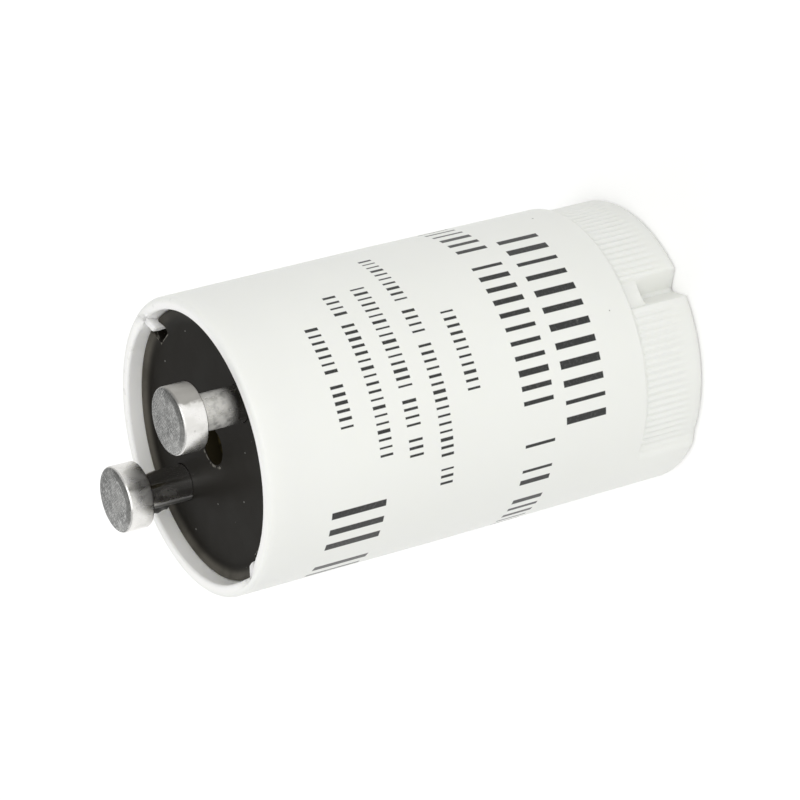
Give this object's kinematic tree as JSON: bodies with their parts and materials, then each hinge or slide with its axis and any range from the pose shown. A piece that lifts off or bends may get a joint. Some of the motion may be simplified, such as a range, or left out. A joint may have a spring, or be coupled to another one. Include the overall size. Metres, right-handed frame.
{
  "type": "fluorescent starter",
  "caption": "Fluorescent lamp starter: moulded can with a ribbed grip, a black base plate and headed contact pins, with a glow switch and a capacitor inside.",
  "frame": {"origin": "centre of the closed end's outer face", "axes": "+Z along the can towards the contact pins, +X through the centres of the two pins"},
  "size_m": [0.0214, 0.0214, 0.04],
  "materials": {
    "case_plastic": "satin off-white moulded plastic, with a fine ribbed grip",
    "plate_plastic": "black moulded insulating plastic, satin, a little dusty",
    "pin_metal": "nickel-plated turned metal, bright sides and scratched faces",
    "tag_metal": "stamped brass, dull",
    "bulb_glass": "clear blown glass",
    "lead_wire": "tinned copper wire",
    "electrode_metal": "nickel wire",
    "bimetal": "rolled bimetal strip",
    "capacitor_coat": "dipped resin coat"
  },
  "bodies": {
    "root": {"case": "case_plastic", "base_plate": "plate_plastic", "contact_pin_left": "pin_metal", "contact_pin_right": "pin_metal", "solder_tag_left": "tag_metal", "solder_tag_right": "tag_metal", "glow_switch_bulb": "bulb_glass", "glow_switch_lead_left": "lead_wire", "glow_switch_lead_right": "lead_wire", "fixed_electrode": "electrode_metal", "bimetal_strip": "bimetal", "capacitor_body": "capacitor_coat", "capacitor_lead_left": "lead_wire", "capacitor_lead_right": "lead_wire"}
  },
  "joints": []
}
